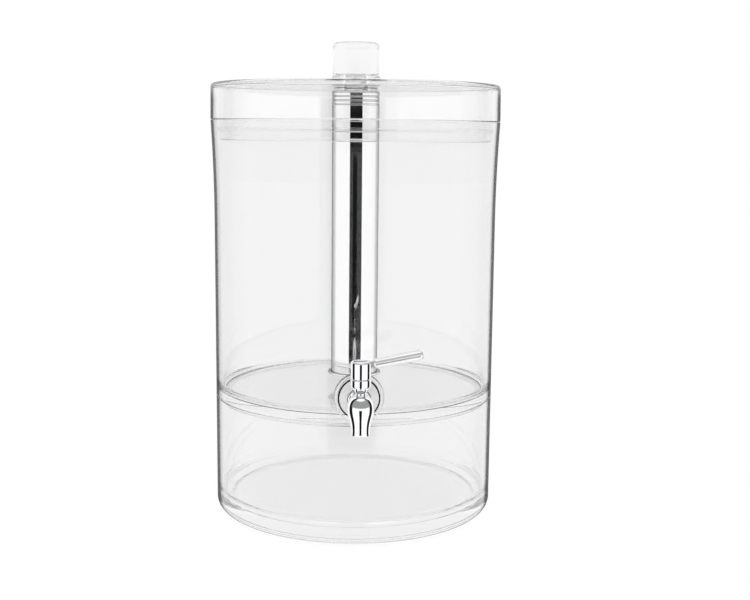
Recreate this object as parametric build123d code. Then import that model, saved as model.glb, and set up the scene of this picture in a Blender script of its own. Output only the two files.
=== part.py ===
from build123d import *
import math
import os

# Clear drinks dispenser with a lift-off lid, a polished ice tube and a lever tap.
# Millimetres, +Z up. The origin is on the jar's axis at the underside of the base.
# The tap points along -Y and its lever along +X.

# ---- Driving dimensions: jar ------------------------------------------------
BODY_R = 118.0             # outside of the straight wall, shared by base and tank
RIM_R = 120.5              # outside of the flared rim
FLARE_START_Z = 245.0      # the wall is straight below this height
WALL = 4.5                 # tank wall
TANK_FLOOR_Z = 103.6       # top of the tank's floor
SEAM_Z = 99.0              # tank rests on the pedestal here
RIM_Z = 328.5              # lid rests on the tank here
LID_TOP_Z = 358.0

# ---- Pedestal ---------------------------------------------------------------
PEDESTAL_INNER_R = 113.0
PEDESTAL_FLOOR_Z = 12.0
PEDESTAL_FILLET = 12.5
BASE_CORNER_R = 9.0
SEAM_EDGE_R = 0.7

# ---- Tank -------------------------------------------------------------------
TANK_FILLET = 9.0
RIM_EDGE_R = 0.8
RING_DEPTH = 4.0           # ring bonded under the floor, which locates the tank on its pedestal
RING_WIDTH = 3.4
RING_GAP = 0.8             # from the pedestal's wall

# ---- Lid --------------------------------------------------------------------
LID_DISC = 3.5
LID_SKIRT = 3.4
LID_CORNER_R = 2.8
LID_INNER_CORNER_R = 1.6
LID_TAPER = 0.4
PLUG_R = 113.6             # ring that drops into the tank's mouth
PLUG_WALL = 3.0
PLUG_BOTTOM_Z = 312.0
SEAL_Z = 319.0
SEAL_HEIGHT = 3.4
SEAL_R = 115.0
SEAL_GROOVE = 1.3
SEAL_ROUND = 1.2

# ---- Knob -------------------------------------------------------------------
KNOB_R = 19.1
KNOB_BOTTOM_Z = 366.0
KNOB_TOP_Z = 392.5
KNOB_ROUND = 3.6
COLLAR_R = 20.2
COLLAR_ROUND = 1.2
FLANGE_R = 30.6
FLANGE_HEIGHT = 2.0
KNOB_WASHER = 0.8
KNOB_WASHER_R = 17.4
SPIGOT_R = 9.0             # clear threaded spigot of the knob
SPIGOT_END_Z = 346.5

# ---- Ice tube ---------------------------------------------------------------
TUBE_R = 19.8
TUBE_WALL = 1.0
TUBE_TOP_Z = 340.5
TUBE_BOTTOM_Z = 115.8
TUBE_FOOT_R = 22.5
TUBE_FOOT = 1.6
CAP_TOP_Z = 351.7
CAP_SHOULDER_Z = 341.5
CAP_THREAD = 10.0          # length of the threaded spigot inside the tube
CAP_ROUND = 1.2
CAP_WASHER_R = 18.2
CAP_GROOVES_Z = (344.1, 347.5)
CAP_GROOVE_R = 0.8
TUBE_PLUG = 6.0            # how far the foot's plug reaches up the tube
TUBE_SEAL_R = 19.6
SOCKET_GAP = 1.0           # below the end of the knob's spigot
THREAD_CLEARANCE = 0.1

# ---- Tap --------------------------------------------------------------------
TAP_Y = -155.0             # vertical axis of the spout
SHANK_Z = 119.6            # horizontal axis of the shank
SHANK_R = 7.0
SHANK_END_Y = -98.0
SHANK_BORE_R = 4.0
SHANK_COLLAR_R = 9.0
SHANK_COLLAR_Y = -128.0
OUTER_PAD_R = 19.2         # clear pads on the tank's wall make it flat for the tap
OUTER_PAD_Y = -121.0
INNER_PAD_R = 16.0
INNER_PAD_Y = -110.0
PAD_DEPTH = 5.0            # enough to reach past the curve of the wall
PAD_ROUND = 1.0
HOLE_R = 7.5
FLANGE_FACE_Y = -124.1
FLANGE_PEAK_Y = -127.2
FLANGE_EDGE_Y = -123.0
FLANGE_RECESS_R = 9.1      # the shank's collar sits in the flange
TAP_FLANGE_R = 15.0
OUTER_GASKET_Y = -122.5
OUTER_GASKET_R = 16.2
INNER_GASKET_Y = -108.5
INNER_GASKET_R = 13.0
BACK_WASHER_Y = -107.3
BACK_WASHER_R = 12.5
NUT_HEIGHT = 6.0
NUT_HALF_FLATS = 10.0
NUT_CHAMFER = 0.6
OUTLET_Z = 100.5
OUTLET_R = 5.6
BELL = ((7.2, 100.5), (7.9, 108.5), (10.1, 120.0), (8.6, 126.2), (4.4, 130.2))
SEAT_Z = 105.0             # the valve washer closes the way out here
SEAT_R = 3.4
CHAMBER_R = 6.0
CHAMBER_TOP_Z = 122.5
CHAMBER_PEAK_Z = 124.0
GLAND_Z = 126.0            # wider bore above here, for the O-ring and the bonnet's plug
GLAND_R = 3.5
NECK_Z = 130.2
O_RING_Z = 126.9
O_RING_WIRE_R = 0.7
BONNET_R = 7.6
BONNET_PLUG_Z = 127.8
BONNET_PLUG_R = 3.4
BONNET_NECK_R = 3.8
BONNET_NECK_Z = 131.4
BONNET_SHOULDER_Z = 136.4
BONNET_FLOOR_Z = 133.6
BONNET_TOP_Z = 142.0
CAVITY_R = 5.4             # spring chamber in the bonnet
GLAND_RING_Z = 140.4
STEM_R = 2.0
STEM_CLEARANCE = 0.06
STEM_COLLAR_Z = 134.0
STEM_COLLAR_R = 4.4
STEM_COLLAR = 1.0
STEM_DISC_R = 4.6
VALVE_WASHER = 1.5
VALVE_WASHER_R = 5.0
SPRING_R = 3.3
SPRING_WIRE_R = 0.3
SPRING_TURNS = 4
HEAD_R = 7.5
HEAD_BOTTOM_Z = 142.2
HEAD_TOP_Z = 155.0
PIN_Z = 151.5
PIN_R = 1.0
SLOT_FLOOR_Z = 148.5
SLOT_WIDTH = 5.2
SLOT_BACK_X = -5.2
LEVER_WIDTH = 4.8
LEVER_RISE = 11.0          # degrees above level with the valve shut
LEVER_REACH = 46.3
LEVER_START = 9.5          # round grip starts this far from the pin
LEVER_ROOT_R = 3.6
LEVER_TIP_R = 4.1
TONGUE_HEIGHT = 4.6
CAM_R = 2.4
CAM_OFFSET = 2.0
FORK_GAP = 2.0
FORK_LENGTH = 7.4
FORK_OFFSET = 1.3
BLADE = 1.6                # thickness of the stem's flat blade
BLADE_R = 1.7              # half its width, and the round of its top
BLADE_LENGTH = 5.2         # from its foot up to the pin


def turned(outline, rounds=()):
    """Revolve (radius, height) corners about Z; rounds holds (corner, fillet radius) pairs."""
    face = make_face(Plane.XZ * Polyline(*outline, close=True))
    for (radius, height), size in rounds:
        corner = face.vertices().sort_by_distance(Vector(radius, 0, height))[0]
        face = fillet(corner, size)
    return revolve(face, Axis.Z, 360)


def flare_line(bottom_z, top_z, inset):
    """Wall line from bottom to top: straight, then an arc that flares out tangentially."""
    run = RIM_Z - FLARE_START_Z
    radius = (run**2 + (RIM_R - BODY_R) ** 2) / (2 * (RIM_R - BODY_R))
    start = (BODY_R - inset, FLARE_START_Z)
    height = top_z - FLARE_START_Z
    end = (start[0] + radius - math.sqrt(radius**2 - height**2), top_z)
    middle_z = FLARE_START_Z + height / 2
    middle = (start[0] + radius - math.sqrt(radius**2 - (height / 2) ** 2), middle_z)
    return [Line((BODY_R - inset, bottom_z), start), ThreePointArc(start, middle, end)], end


def disc_y(radius, hole, near_y, far_y):
    """Washer on the shank's axis between two places along Y."""
    plane = Plane(origin=(0, near_y, SHANK_Z), x_dir=(1, 0, 0), z_dir=(0, 1, 0))
    ring = Circle(radius)
    if hole:
        ring = ring - Circle(hole)
    return extrude(plane * ring, amount=far_y - near_y)


def at_tap(shape):
    """Move a shape made about the Z axis on to the spout's axis."""
    return Pos(0, TAP_Y, 0) * shape


# ---- Jar --------------------------------------------------------------------
def make_pedestal():
    outline = [
        (0, 0),
        (BODY_R, 0),
        (BODY_R, SEAM_Z),
        (PEDESTAL_INNER_R, SEAM_Z),
        (PEDESTAL_INNER_R, PEDESTAL_FLOOR_Z),
        (0, PEDESTAL_FLOOR_Z),
    ]
    rounds = [
        ((BODY_R, 0), BASE_CORNER_R),
        ((BODY_R, SEAM_Z), SEAM_EDGE_R),
        ((PEDESTAL_INNER_R, SEAM_Z), SEAM_EDGE_R),
        ((PEDESTAL_INNER_R, PEDESTAL_FLOOR_Z), PEDESTAL_FILLET),
    ]
    return turned(outline, rounds)


def make_tank():
    outer, outer_end = flare_line(SEAM_Z, RIM_Z, 0)
    inner, inner_end = flare_line(TANK_FLOOR_Z, RIM_Z, WALL)
    below = Polyline((BODY_R - WALL, TANK_FLOOR_Z), (0, TANK_FLOOR_Z), (0, SEAM_Z), (BODY_R, SEAM_Z))
    rim = Line(outer_end, inner_end)
    face = make_face(Plane.XZ * Curve(children=[*outer, rim, *inner, below]))
    rounds = [
        ((BODY_R - WALL, TANK_FLOOR_Z), TANK_FILLET),
        ((BODY_R, SEAM_Z), SEAM_EDGE_R),
        (outer_end, RIM_EDGE_R),
        (inner_end, RIM_EDGE_R),
    ]
    for (radius, height), size in rounds:
        corner = face.vertices().sort_by_distance(Vector(radius, 0, height))[0]
        face = fillet(corner, size)
    hole = disc_y(HOLE_R, 0, OUTER_PAD_Y - 1, INNER_PAD_Y + 1)
    return revolve(face, Axis.Z, 360) - hole


def make_outer_pad():
    """Clear pad bonded to the wall, flat in front and curved to the wall behind."""
    disc = disc_y(OUTER_PAD_R, HOLE_R, OUTER_PAD_Y, -BODY_R + PAD_DEPTH)
    disc = fillet(disc.edges().group_by(Axis.Y)[0].sort_by(SortBy.LENGTH)[-1], PAD_ROUND)
    return disc - Pos(0, 0, SHANK_Z) * Cylinder(BODY_R, 100)


def make_inner_pad():
    """The same inside the tank, where it also follows the round between wall and floor."""
    disc = disc_y(INNER_PAD_R, HOLE_R, -BODY_R + WALL - PAD_DEPTH, INNER_PAD_Y)
    disc = fillet(disc.edges().group_by(Axis.Y)[-1].sort_by(SortBy.LENGTH)[-1], PAD_ROUND)
    inner_r = BODY_R - WALL
    outline = [(0, TANK_FLOOR_Z), (inner_r, TANK_FLOOR_Z), (inner_r, FLARE_START_Z), (0, FLARE_START_Z)]
    return disc & turned(outline, [((inner_r, TANK_FLOOR_Z), TANK_FILLET)])


# ---- Lid --------------------------------------------------------------------
def make_lid_cap():
    under_z = LID_TOP_Z - LID_DISC
    top_r = RIM_R - LID_TAPER
    hole_r = SPIGOT_R + THREAD_CLEARANCE
    outline = [
        (hole_r, under_z),
        (RIM_R - LID_SKIRT, under_z),
        (RIM_R - LID_SKIRT, RIM_Z),
        (RIM_R, RIM_Z),
        (top_r, LID_TOP_Z),
        (hole_r, LID_TOP_Z),
    ]
    rounds = [
        ((RIM_R - LID_SKIRT, under_z), LID_INNER_CORNER_R),
        ((RIM_R, RIM_Z), SEAM_EDGE_R),
        ((top_r, LID_TOP_Z), LID_CORNER_R),
    ]
    return turned(outline, rounds)


def make_lid_inner_ring():
    top_z = LID_TOP_Z - LID_DISC
    groove_r = PLUG_R - SEAL_GROOVE
    outline = [
        (PLUG_R - PLUG_WALL, PLUG_BOTTOM_Z),
        (PLUG_R, PLUG_BOTTOM_Z),
        (PLUG_R, SEAL_Z),
        (groove_r, SEAL_Z),
        (groove_r, SEAL_Z + SEAL_HEIGHT),
        (PLUG_R, SEAL_Z + SEAL_HEIGHT),
        (PLUG_R, top_z),
        (PLUG_R - PLUG_WALL, top_z),
    ]
    rounds = [
        ((PLUG_R - PLUG_WALL, PLUG_BOTTOM_Z), 0.8),
        ((PLUG_R, PLUG_BOTTOM_Z), 1.2),
    ]
    return turned(outline, rounds)


def make_lid_seal():
    inner_r = PLUG_R - SEAL_GROOVE
    top_z = SEAL_Z + SEAL_HEIGHT
    outline = [(inner_r, SEAL_Z), (SEAL_R, SEAL_Z), (SEAL_R, top_z), (inner_r, top_z)]
    return turned(outline, [((SEAL_R, SEAL_Z), SEAL_ROUND), ((SEAL_R, top_z), SEAL_ROUND)])


def make_knob():
    outline = [
        (0, SPIGOT_END_Z),
        (SPIGOT_R, SPIGOT_END_Z),
        (SPIGOT_R, KNOB_BOTTOM_Z),
        (KNOB_R, KNOB_BOTTOM_Z),
        (KNOB_R, KNOB_TOP_Z),
        (0, KNOB_TOP_Z),
    ]
    rounds = [
        ((SPIGOT_R, SPIGOT_END_Z), 0.8),
        ((KNOB_R, KNOB_BOTTOM_Z), 1.2),
        ((KNOB_R, KNOB_TOP_Z), KNOB_ROUND),
    ]
    return turned(outline, rounds)


def make_knob_collar():
    hole_r = SPIGOT_R + THREAD_CLEARANCE
    flange_top_z = LID_TOP_Z + FLANGE_HEIGHT
    top_z = KNOB_BOTTOM_Z - KNOB_WASHER
    outline = [
        (hole_r, LID_TOP_Z),
        (FLANGE_R, LID_TOP_Z),
        (FLANGE_R, flange_top_z),
        (COLLAR_R, flange_top_z),
        (COLLAR_R, top_z),
        (hole_r, top_z),
    ]
    rounds = [
        ((FLANGE_R, flange_top_z), COLLAR_ROUND),
        ((COLLAR_R, flange_top_z), COLLAR_ROUND),
        ((COLLAR_R, top_z), COLLAR_ROUND),
    ]
    return turned(outline, rounds)


def flat_washer(inner_r, outer_r, bottom_z, top_z):
    """Plain ring about the Z axis."""
    return turned([(inner_r, bottom_z), (outer_r, bottom_z), (outer_r, top_z), (inner_r, top_z)])


# ---- Ice tube ---------------------------------------------------------------
def make_tube_cap():
    """Steel cap that the tube screws on to; its socket takes the knob's spigot."""
    spigot_r = TUBE_R - TUBE_WALL - THREAD_CLEARANCE
    spigot_z = CAP_SHOULDER_Z - CAP_THREAD
    socket_r = SPIGOT_R + THREAD_CLEARANCE
    socket_z = SPIGOT_END_Z - SOCKET_GAP
    outline = [
        (0, spigot_z),
        (spigot_r, spigot_z),
        (spigot_r, CAP_SHOULDER_Z),
        (TUBE_R, CAP_SHOULDER_Z),
        (TUBE_R, CAP_TOP_Z),
        (socket_r, CAP_TOP_Z),
        (socket_r, socket_z),
        (0, socket_z),
    ]
    cap = turned(outline, [((TUBE_R, CAP_TOP_Z), CAP_ROUND), ((spigot_r, spigot_z), 1.0)])
    for groove_z in CAP_GROOVES_Z:
        cap -= Pos(0, 0, groove_z) * Torus(TUBE_R + 0.1, CAP_GROOVE_R)
    return cap


def make_ice_tube():
    inner_r = TUBE_R - TUBE_WALL
    outline = [
        (inner_r, TUBE_BOTTOM_Z),
        (TUBE_R, TUBE_BOTTOM_Z),
        (TUBE_R, TUBE_TOP_Z),
        (inner_r, TUBE_TOP_Z),
    ]
    return turned(outline, [((TUBE_R, TUBE_TOP_Z), 0.4)])


def make_tube_base():
    """Foot flange and plug that close the tube's lower end."""
    plug_r = TUBE_R - TUBE_WALL
    plug_top_z = TUBE_BOTTOM_Z + TUBE_PLUG
    foot_z = TUBE_BOTTOM_Z - TUBE_FOOT
    outline = [
        (0, foot_z),
        (TUBE_FOOT_R, foot_z),
        (TUBE_FOOT_R, TUBE_BOTTOM_Z),
        (plug_r, TUBE_BOTTOM_Z),
        (plug_r, plug_top_z),
        (0, plug_top_z),
    ]
    rounds = [((TUBE_FOOT_R, foot_z), 0.7), ((TUBE_FOOT_R, TUBE_BOTTOM_Z), 0.7)]
    return turned(outline, rounds)


# ---- Tap --------------------------------------------------------------------
def make_tap_body():
    """Bell-shaped spout with its shank, valve seat and gland bore."""
    bell = Spline(*BELL)
    foot, neck = BELL[0], BELL[-1]
    closing = Polyline(neck, (0, NECK_Z), (0, OUTLET_Z), foot)
    spout = at_tap(revolve(make_face(Plane.XZ * Curve(children=[bell, closing])), Axis.Z, 360))
    shank = disc_y(SHANK_R, 0, TAP_Y, SHANK_END_Y)
    collar = disc_y(SHANK_COLLAR_R, 0, SHANK_COLLAR_Y, FLANGE_FACE_Y)
    collar = fillet(collar.edges().group_by(Axis.Y)[0], 1.5)
    bore = disc_y(SHANK_BORE_R, 0, TAP_Y, SHANK_END_Y + 1)
    stem_bore_r = STEM_R + STEM_CLEARANCE
    # Each step of the bore runs 1 mm into the next one.
    way_out = flat_washer(0, OUTLET_R, OUTLET_Z - 1, OUTLET_Z + 3)
    seat = flat_washer(0, SEAT_R, OUTLET_Z, SEAT_Z + 1)
    chamber = turned([(0, SEAT_Z), (CHAMBER_R, SEAT_Z), (CHAMBER_R, CHAMBER_TOP_Z), (0, CHAMBER_PEAK_Z)])
    stem_bore = flat_washer(0, stem_bore_r, CHAMBER_TOP_Z, GLAND_Z)
    gland = flat_washer(0, GLAND_R, GLAND_Z, NECK_Z + 1)
    cavity = at_tap(way_out + seat + chamber + stem_bore + gland)
    return spout + shank + collar - bore - cavity


def make_tap_flange():
    """Cone-shaped flange with a recess for the shank's collar."""
    outline = [
        (SHANK_R + THREAD_CLEARANCE, -OUTER_GASKET_Y),
        (TAP_FLANGE_R, -OUTER_GASKET_Y),
        (TAP_FLANGE_R, -FLANGE_EDGE_Y),
        (FLANGE_RECESS_R + 0.8, -FLANGE_PEAK_Y),
        (FLANGE_RECESS_R, -FLANGE_PEAK_Y),
        (FLANGE_RECESS_R, -FLANGE_FACE_Y),
        (SHANK_R + THREAD_CLEARANCE, -FLANGE_FACE_Y),
    ]
    return Pos(0, 0, SHANK_Z) * Rot(90, 0, 0) * turned(outline, [((TAP_FLANGE_R, -FLANGE_EDGE_Y), 0.4)])


def make_tap_nut():
    """Hexagonal nut on the shank, with its corners taken off."""
    plane = Plane(origin=(0, BACK_WASHER_Y, SHANK_Z), x_dir=(1, 0, 0), z_dir=(0, 1, 0))
    hexagon = RegularPolygon(radius=NUT_HALF_FLATS, side_count=6, major_radius=False)
    blank = extrude(plane * (hexagon - Circle(SHANK_R + THREAD_CLEARANCE / 2)), amount=NUT_HEIGHT)
    round_blank = disc_y(NUT_HALF_FLATS + 1, 0, BACK_WASHER_Y, BACK_WASHER_Y + NUT_HEIGHT)
    return blank & chamfer(round_blank.edges(), NUT_CHAMFER)


def make_bonnet():
    """Cup above the spout that holds the valve's spring."""
    bore_r = STEM_R + STEM_CLEARANCE
    outline = [
        (bore_r, BONNET_PLUG_Z),
        (BONNET_PLUG_R, BONNET_PLUG_Z),
        (BONNET_PLUG_R, NECK_Z),
        (BONNET_NECK_R, NECK_Z),
        (BONNET_NECK_R, BONNET_NECK_Z),
        (BONNET_R, BONNET_SHOULDER_Z),
        (BONNET_R, BONNET_TOP_Z),
        (CAVITY_R, BONNET_TOP_Z),
        (CAVITY_R, BONNET_FLOOR_Z),
        (bore_r, BONNET_FLOOR_Z),
    ]
    rounds = [
        ((BONNET_NECK_R, BONNET_NECK_Z), 1.0),
        ((BONNET_R, BONNET_SHOULDER_Z), 1.6),
        ((BONNET_R, BONNET_TOP_Z), 0.5),
    ]
    return at_tap(turned(outline, rounds))


def make_tap_head():
    """Swivelling head with the slot that the lever rocks in."""
    bore_r = STEM_R + STEM_CLEARANCE
    outline = [
        (bore_r, HEAD_BOTTOM_Z),
        (HEAD_R, HEAD_BOTTOM_Z),
        (HEAD_R, HEAD_TOP_Z),
        (bore_r, HEAD_TOP_Z),
    ]
    head = turned(outline, [((HEAD_R, HEAD_BOTTOM_Z), 0.5), ((HEAD_R, HEAD_TOP_Z), 1.2)])
    slot = Box(20, SLOT_WIDTH, 20, align=(Align.MIN, Align.CENTER, Align.MIN))
    return at_tap(head - Pos(SLOT_BACK_X, 0, SLOT_FLOOR_Z) * slot)


def make_stem():
    """Valve stem: closing disc below, spring collar, and a flat blade with an eye on top."""
    blade_bottom_z = PIN_Z - BLADE_LENGTH
    disc_z = SEAT_Z + VALVE_WASHER
    stem = turned(
        [
            (0, disc_z),
            (STEM_DISC_R, disc_z),
            (STEM_DISC_R, disc_z + 2),
            (STEM_R, disc_z + 4),
            (STEM_R, STEM_COLLAR_Z),
            (STEM_COLLAR_R, STEM_COLLAR_Z),
            (STEM_COLLAR_R, STEM_COLLAR_Z + STEM_COLLAR),
            (STEM_R, STEM_COLLAR_Z + STEM_COLLAR),
            (STEM_R, blade_bottom_z),
            (0, blade_bottom_z),
        ]
    )
    blade = Box(2 * BLADE_R, BLADE, BLADE_LENGTH, align=(Align.CENTER, Align.CENTER, Align.MIN))
    blade = Pos(0, 0, blade_bottom_z) * blade
    blade_end = Pos(0, 0, PIN_Z) * Rot(90, 0, 0) * Cylinder(BLADE_R, BLADE)
    eye = Pos(0, 0, PIN_Z) * Rot(90, 0, 0) * Cylinder(PIN_R, 10)
    return at_tap(stem + blade + blade_end - eye)


def make_lever():
    """Lever with a round grip, and a forked root whose offset cam bears on the head."""
    root = Pos(-CAM_OFFSET, 0, 0) * Rot(90, 0, 0) * Cylinder(CAM_R, LEVER_WIDTH)
    tongue = Box(LEVER_START + 1, LEVER_WIDTH, TONGUE_HEIGHT, align=(Align.MIN, Align.CENTER, Align.CENTER))
    bridge = Box(CAM_OFFSET, LEVER_WIDTH, 2 * CAM_R, align=(Align.MAX, Align.CENTER, Align.CENTER))
    outline = [
        (0, LEVER_START),
        (LEVER_ROOT_R, LEVER_START),
        (LEVER_TIP_R, LEVER_REACH),
        (0, LEVER_REACH),
    ]
    rounds = [((LEVER_ROOT_R, LEVER_START), 1.4), ((LEVER_TIP_R, LEVER_REACH), 2.4)]
    grip = Rot(0, 90, 0) * turned(outline, rounds)
    fork = Box(FORK_LENGTH, FORK_GAP, 12, align=(Align.CENTER, Align.CENTER, Align.CENTER))
    eye = Rot(90, 0, 0) * Cylinder(PIN_R + 0.05, 10)
    lever = root + bridge + tongue + grip - Pos(-FORK_OFFSET, 0, 0) * fork - eye
    return at_tap(Pos(0, 0, PIN_Z) * Rot(0, -LEVER_RISE, 0) * lever)


def make_spring():
    """Coil between the stem's collar and the gland ring."""
    bottom_z = STEM_COLLAR_Z + STEM_COLLAR + SPRING_WIRE_R
    height = GLAND_RING_Z - SPRING_WIRE_R - bottom_z
    path = Helix(pitch=height / SPRING_TURNS, height=height, radius=SPRING_R)
    section = Plane(origin=path @ 0, z_dir=path % 0) * Circle(SPRING_WIRE_R)
    return at_tap(Pos(0, 0, bottom_z) * sweep(section, path=path))


shank_clear_r = SHANK_R + THREAD_CLEARANCE
knob_clear_r = SPIGOT_R + THREAD_CLEARANCE
stem_clear_r = STEM_R + STEM_CLEARANCE
ring_r = PEDESTAL_INNER_R - RING_GAP
o_ring = Torus(stem_clear_r + O_RING_WIRE_R, O_RING_WIRE_R)
pin = Rot(90, 0, 0) * Cylinder(PIN_R, LEVER_WIDTH)

PARTS = {
    "pedestal": make_pedestal(),
    "tank": make_tank(),
    "tank_ring": flat_washer(ring_r - RING_WIDTH, ring_r, SEAM_Z - RING_DEPTH, SEAM_Z),
    "outer_tap_pad": make_outer_pad(),
    "inner_tap_pad": make_inner_pad(),
    "lid_cap": make_lid_cap(),
    "lid_inner_ring": make_lid_inner_ring(),
    "lid_seal": make_lid_seal(),
    "knob": make_knob(),
    "knob_collar": make_knob_collar(),
    "knob_washer": flat_washer(knob_clear_r, KNOB_WASHER_R, KNOB_BOTTOM_Z - KNOB_WASHER, KNOB_BOTTOM_Z),
    "tube_cap_washer": flat_washer(knob_clear_r, CAP_WASHER_R, CAP_TOP_Z, LID_TOP_Z - LID_DISC),
    "tube_cap": make_tube_cap(),
    "tube_seal": flat_washer(
        TUBE_R - TUBE_WALL - THREAD_CLEARANCE / 2, TUBE_SEAL_R, TUBE_TOP_Z, CAP_SHOULDER_Z
    ),
    "ice_tube": make_ice_tube(),
    "tube_base": make_tube_base(),
    "tap_body": make_tap_body(),
    "tap_flange": make_tap_flange(),
    "tap_outer_gasket": disc_y(OUTER_GASKET_R, shank_clear_r, OUTER_GASKET_Y, OUTER_PAD_Y),
    "tap_inner_gasket": disc_y(INNER_GASKET_R, shank_clear_r, INNER_PAD_Y, INNER_GASKET_Y),
    "tap_back_washer": disc_y(BACK_WASHER_R, shank_clear_r, INNER_GASKET_Y, BACK_WASHER_Y),
    "tap_nut": make_tap_nut(),
    "tap_bonnet": make_bonnet(),
    "gland_ring": at_tap(flat_washer(stem_clear_r, CAVITY_R - 0.05, GLAND_RING_Z, BONNET_TOP_Z)),
    "stem_o_ring": at_tap(Pos(0, 0, O_RING_Z) * o_ring),
    "valve_stem": make_stem(),
    "valve_washer": at_tap(flat_washer(0, VALVE_WASHER_R, SEAT_Z, SEAT_Z + VALVE_WASHER)),
    "tap_spring": make_spring(),
    "tap_head": make_tap_head(),
    "tap_lever": make_lever(),
    "lever_pin": at_tap(Pos(0, 0, PIN_Z) * pin),
}

os.makedirs("parts", exist_ok=True)
for node, shape in PARTS.items():
    export_step(shape, f"parts/{node}.step")
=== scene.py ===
import math

import bmesh
import bpy
from mathutils import Matrix, Vector


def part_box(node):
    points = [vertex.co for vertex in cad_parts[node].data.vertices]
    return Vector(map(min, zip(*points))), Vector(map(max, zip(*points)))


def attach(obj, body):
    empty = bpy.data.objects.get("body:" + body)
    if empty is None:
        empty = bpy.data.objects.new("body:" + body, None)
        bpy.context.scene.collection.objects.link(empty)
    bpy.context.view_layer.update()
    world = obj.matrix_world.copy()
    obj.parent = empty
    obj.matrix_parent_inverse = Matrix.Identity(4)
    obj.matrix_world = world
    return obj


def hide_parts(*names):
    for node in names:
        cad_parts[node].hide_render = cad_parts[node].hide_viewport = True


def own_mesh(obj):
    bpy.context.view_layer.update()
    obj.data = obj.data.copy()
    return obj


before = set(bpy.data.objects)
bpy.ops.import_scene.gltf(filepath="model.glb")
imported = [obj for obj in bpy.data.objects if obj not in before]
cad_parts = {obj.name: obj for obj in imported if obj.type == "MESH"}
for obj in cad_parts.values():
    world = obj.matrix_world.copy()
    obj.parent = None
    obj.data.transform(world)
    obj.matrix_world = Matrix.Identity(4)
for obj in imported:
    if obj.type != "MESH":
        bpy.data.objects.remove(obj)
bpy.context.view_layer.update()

MM = 0.001
FINE = 320                 # steps round the jar
SMALL = 96                 # steps round small turned pieces
ARC_STEP = math.radians(9)
SHARP = math.radians(32)
ON_AXIS = 1e-7             # a smaller radius is on the axis
SAME = 1e-6                # radii closer than this are the same
HOLD = 0.4 * MM            # width of the flat margin beside a rounded edge

# ---- Sizes, from the frame where it gives them ------------------------------
BODY_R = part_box("pedestal")[1].x
SEAM_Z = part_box("pedestal")[1].z
RING_BOTTOM_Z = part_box("tank_ring")[0].z
RIM_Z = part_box("tank")[1].z
RIM_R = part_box("tank")[1].x
PAD_FACE_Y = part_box("outer_tap_pad")[0].y
INNER_PAD_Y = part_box("inner_tap_pad")[1].y
LID_TOP_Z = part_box("lid_cap")[1].z
PLUG_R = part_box("lid_inner_ring")[1].x
PLUG_BOTTOM_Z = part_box("lid_inner_ring")[0].z
LID_UNDER_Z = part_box("lid_inner_ring")[1].z
SEAL_BOTTOM_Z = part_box("lid_seal")[0].z
SEAL_TOP_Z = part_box("lid_seal")[1].z
KNOB_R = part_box("knob")[1].x
KNOB_TOP_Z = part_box("knob")[1].z
SPIGOT_END_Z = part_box("knob")[0].z
FLANGE_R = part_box("knob_collar")[1].x
COLLAR_TOP_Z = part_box("knob_collar")[1].z
KNOB_BOTTOM_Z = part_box("knob_washer")[1].z
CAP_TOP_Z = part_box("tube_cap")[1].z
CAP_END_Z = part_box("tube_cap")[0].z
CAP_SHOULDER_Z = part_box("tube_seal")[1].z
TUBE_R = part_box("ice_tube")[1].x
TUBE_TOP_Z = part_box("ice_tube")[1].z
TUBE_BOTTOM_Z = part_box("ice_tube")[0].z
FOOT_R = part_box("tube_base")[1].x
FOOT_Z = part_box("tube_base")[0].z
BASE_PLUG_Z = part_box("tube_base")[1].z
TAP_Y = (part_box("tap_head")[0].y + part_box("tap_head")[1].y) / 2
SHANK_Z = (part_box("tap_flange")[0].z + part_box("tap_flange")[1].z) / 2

HAIR = 0.06 * MM           # gap kept where two clear pieces meet

# Jar
PEDESTAL_WALL = 5 * MM
PEDESTAL_FLOOR_Z = 12 * MM
PEDESTAL_FILLET = 12.5 * MM
PEDESTAL_RINGS_Z = (30 * MM, 50 * MM, 70 * MM, 90 * MM)
BASE_CORNER = 9 * MM
SEAM_EDGE = 0.7 * MM
WALL = 4.5 * MM
WALL_STEP = 5 * MM         # between rings of the tank's wall
TANK_FLOOR_Z = 103.6 * MM
TANK_FILLET = 9 * MM
FLARE_START_Z = 245 * MM
OUTER_RINGS_Z = (SEAM_Z + 8 * MM, RIM_Z - 3 * MM)
INNER_RINGS_Z = (TANK_FLOOR_Z + 15 * MM, RIM_Z - 3 * MM)
RIM_EDGE = 0.8 * MM
LOCATOR_GAP = 0.8 * MM     # between the ring under the tank and the pedestal's wall
LOCATOR_WIDTH = 3.4 * MM
LOCATOR_EDGE = 0.5 * MM
OUTER_PAD_R = 19.2 * MM
INNER_PAD_R = 16 * MM
PAD_EDGE = 0.8 * MM
TAP_HOLE_R = 7.5 * MM
TAP_HOLE_Y = -107 * MM     # the hole's inner end
TAP_HOLE_LENGTH = 16 * MM

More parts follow.
